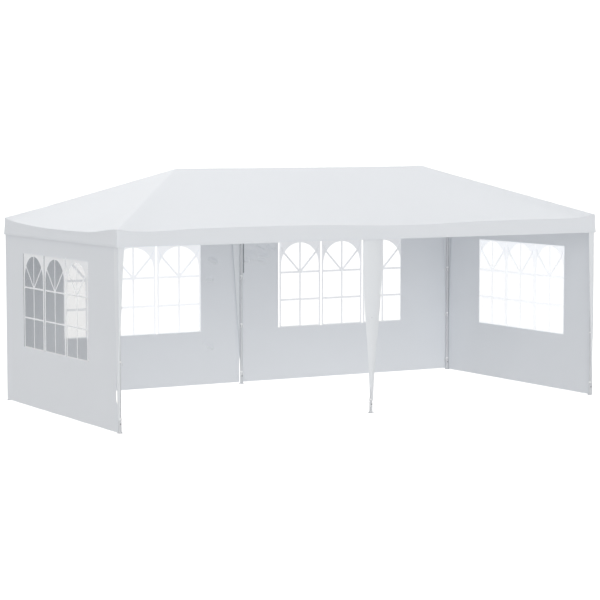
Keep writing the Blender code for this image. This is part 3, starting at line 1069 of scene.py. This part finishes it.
ties = {
    "width": 0.016,
    "thickness": 0.0011,
    "clearance": 0.0004,
    "edge": 0.0003,
    "knotRadius": 0.006,
    "knotSquash": 0.8,
    "knotInward": 0.004,
    "tail": 0.045,
    "tailStart": (0.005, 0.004),  # out from the tube, and to each side
    "tailBow": 0.010,
    "tailSplay": 0.016,
    "tailWidth": 0.007,
    "tailThickness": 0.0007,
    "wallSpacing": 0.48,
    "wallInset": 0.0023,  # from the tent's outline in to its walls
    # the dark strip beside the back middle leg, painted shade for the shadow gap there: its two
    # corners along and up the wall
    "shadeStripLow": (0.0345, 1.310),
    "shadeStripHigh": (0.0445, 1.900),
    "shadeStripInward": 0.004,
    "shadeStripThickness": 0.0008,
}


def addBand(shape, centre, along, radius):
    # a tape band round a tube
    half, inner, edge = ties["width"] / 2, radius + ties["clearance"], ties["edge"]
    outer = inner + ties["thickness"]
    turnProfile(shape, [(inner, -half), (outer - edge, -half), (outer, -half + edge),
                        (outer, half - edge), (outer - edge, half), (inner, half),
                        (inner, -half)], centre, along)


def addKnot(shape, place, facing):
    # the knot of a band and its two short tails
    knot = bmesh.new()
    bmesh.ops.create_uvsphere(knot, u_segments=12, v_segments=8, radius=ties["knotRadius"])
    side = facing.cross(Vector((0, 0, 1))).normalized()
    bmesh.ops.scale(knot, vec=(1.0, 1.0, ties["knotSquash"]), verts=knot.verts[:])
    bmesh.ops.translate(knot, vec=place + facing * ties["knotRadius"] / 2, verts=knot.verts[:])
    startOut, startAside = ties["tailStart"]
    for spread in (-1, 1):
        tail = bmesh.ops.create_grid(knot, x_segments=1, y_segments=6, size=1.0)["verts"]
        for vert in tail:
            across, down = vert.co.x * ties["tailWidth"] / 2, (1 - vert.co.y) / 2
            out = startOut + ties["tailBow"] * sin(pi * down) * down
            aside = spread * (startAside + ties["tailSplay"] * down) + across
            vert.co = place + facing * out + side * aside - Vector((0, 0, ties["tail"] * down))
        faces = list(dict.fromkeys(face for vert in tail for face in vert.link_faces))
        bmesh.ops.solidify(knot, geom=faces, thickness=ties["tailThickness"])
    faceOutwards(knot)
    addTo(shape, knot)


def makeTies():
    shape, radius = bmesh.new(), tent["tubeRadius"]
    for x, y in legPlaces:
        facing = Vector((-x, -y, 0)).normalized()
        for up in walls["tieHeights"]:
            addBand(shape, (x, y, up), (0, 0, 1), radius)
            addKnot(shape, Vector((x, y, up)) + facing * radius, facing)
    finishPiece("leg_ties", shape, "tape")
    shape = bmesh.new()
    depth = tent["halfDepth"] - tent["legY"] - ties["wallInset"]  # from a wall in to its tube
    for label in wallFaces:
        wall = wallFrame(label)
        (low, high), out = wall["ends"], wall["out"]
        count = round((high - low) / ties["wallSpacing"])
        for index in range(count):
            along = low + (high - low) * (index + 0.5) / count
            centre = wall["place"](along, tent["eaveHeight"], -depth)
            addBand(shape, centre, wall["way"], radius)
            addKnot(shape, centre - Vector((0, 0, radius)) - out * ties["knotInward"], -out)
    finishPiece("wall_ties", shape, "tape")
    # a dark strip beside the back middle leg, painted shade for the shadow gap there
    shape = bmesh.new()
    addStrip(shape, wallFrame("back_right"), ties["shadeStripLow"], ties["shadeStripHigh"],
             ties["shadeStripInward"])
    finishPiece("back_leg_painted_shade_strip", shape, "painted_shade_strip", thickness=ties["shadeStripThickness"])


makeFrame()
print("frame tubes, joints and feet made")
makeTies()
print("ties made")
makeCanopy()
print("canopy made")
for wallLabel in wallFaces:
    makeWall(wallLabel)
    makeFilm(wallLabel)
    makeFrames(wallLabel)
print("walls and windows made")
for coverLabel, coverSide in (("front", -1), ("back", 1)):
    makeMiddleCover(coverLabel, coverSide)
    for coverEnd, coverAcross in (("left", -1), ("right", 1)):
        makeCornerCover(coverLabel, coverSide, coverEnd, coverAcross)
print("leg covers made")


# Stage, light and camera

studio = {
    "floorSize": 60.0,
    "backdrop": 1.20,  # what the camera sees behind the tent
    "floorGlow": 0.624,  # what the white floor gives the tent
    "skyGlow": 0.0,
    # soft boxes: heading from the front, height above the floor, strength
    "boxes": [(-30, 15, 0.969), (-90, 20, 0.855), (0, 8, 0.921), (90, 40, 1.33),
              (135, 30, 0.559), (180, 40, 1.434)],
    "boxSpread": 60,
}


def glowBehind(owner, shader, output, dim):
    # a plain white that is bright to the camera and gives the tent another amount of light
    owner.use_nodes = True
    owner.node_tree.nodes.clear()
    seen = addNode(owner, "LightPath", take="Is Camera Ray")
    glow = addNode(owner, "MapRange", {"Value": seen, "To Min": dim, "To Max": studio["backdrop"]})
    light = addNode(owner, shader, {"Color": (1, 1, 1, 1), "Strength": glow})
    addNode(owner, output, {"Surface": light})


def makeFloor():
    half = studio["floorSize"] / 2
    shape = flatGrid(1, 1, (-half, -half), (half, half))
    mesh = bpy.data.meshes.new("studio_floor")
    shape.to_mesh(mesh)
    shape.free()
    material = bpy.data.materials.new("white_studio_floor")
    glowBehind(material, "Emission", "OutputMaterial", studio["floorGlow"])
    mesh.materials.append(material)
    floor = bpy.data.objects.new("studio_floor", mesh)
    bpy.context.scene.collection.objects.link(floor)


def makeWorld():
    world = bpy.data.worlds.new("soft_studio")
    bpy.context.scene.world = world
    glowBehind(world, "Background", "OutputWorld", studio["skyGlow"])


def makeSoftBoxes():
    for index, (heading, height, strength) in enumerate(studio["boxes"]):
        light = bpy.data.lights.new(f"soft_box_{index}", "SUN")
        light.energy = strength
        light.angle = radians(studio["boxSpread"])
        lamp = bpy.data.objects.new(f"soft_box_{index}", light)
        turn, rise = radians(heading), radians(height)
        away = Vector((sin(turn) * cos(rise), -cos(turn) * cos(rise), sin(rise)))
        lamp.rotation_euler = away.to_track_quat("Z", "Y").to_euler()
        bpy.context.scene.collection.objects.link(lamp)


cameraView = {
    "place": (-11.4646, -19.7011, 3.0060),
    "heading": -0.5257,
    "tilt": -0.0836,
    "focalPixels": 2046.25,
    "framePixels": 600,
    "sensor": 36.0,
    "farthest": 200.0,
}


def makeCamera():
    camera = bpy.data.cameras.new("photo_camera")
    camera.sensor_width = cameraView["sensor"]
    camera.lens = cameraView["focalPixels"] / cameraView["framePixels"] * cameraView["sensor"]
    camera.clip_end = cameraView["farthest"]
    holder = bpy.data.objects.new("photo_camera", camera)
    holder.location = cameraView["place"]
    holder.rotation_euler = (pi / 2 + cameraView["tilt"], 0, cameraView["heading"])
    bpy.context.scene.collection.objects.link(holder)
    bpy.context.scene.camera = holder
    bpy.context.scene.view_settings.view_transform = "Standard"


makeFloor()
makeWorld()
makeSoftBoxes()
makeCamera()
print("stage, light and camera made")
